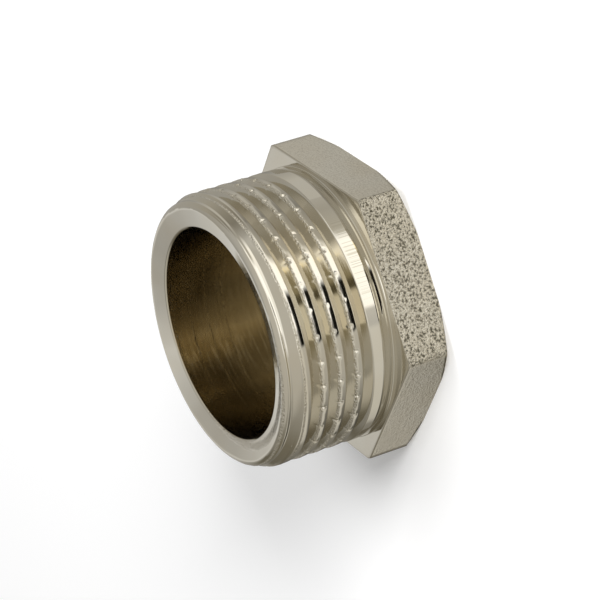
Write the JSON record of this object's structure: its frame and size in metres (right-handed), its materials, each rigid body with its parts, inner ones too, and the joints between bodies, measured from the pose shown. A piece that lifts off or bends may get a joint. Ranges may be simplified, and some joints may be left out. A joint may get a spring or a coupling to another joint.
{
  "type": "pipe plug",
  "caption": "Hollow male pipe plug with a parallel thread, a plain collar and a hexagon head, for closing the end of a pipe or fitting.",
  "frame": {"origin": "centre of the flat back of the hexagon head, which the plug stands on", "axes": "+Z along the thread axis, from the head to the open mouth; a corner of the hexagon points along +X"},
  "size_m": [0.031, 0.027, 0.0162],
  "materials": {
    "plated_brass": "nickel plated over turned brass, bright on the thread and collar, grained on the hexagon's flats"
  },
  "bodies": {
    "root": {"plug_body": "plated_brass"}
  },
  "joints": []
}
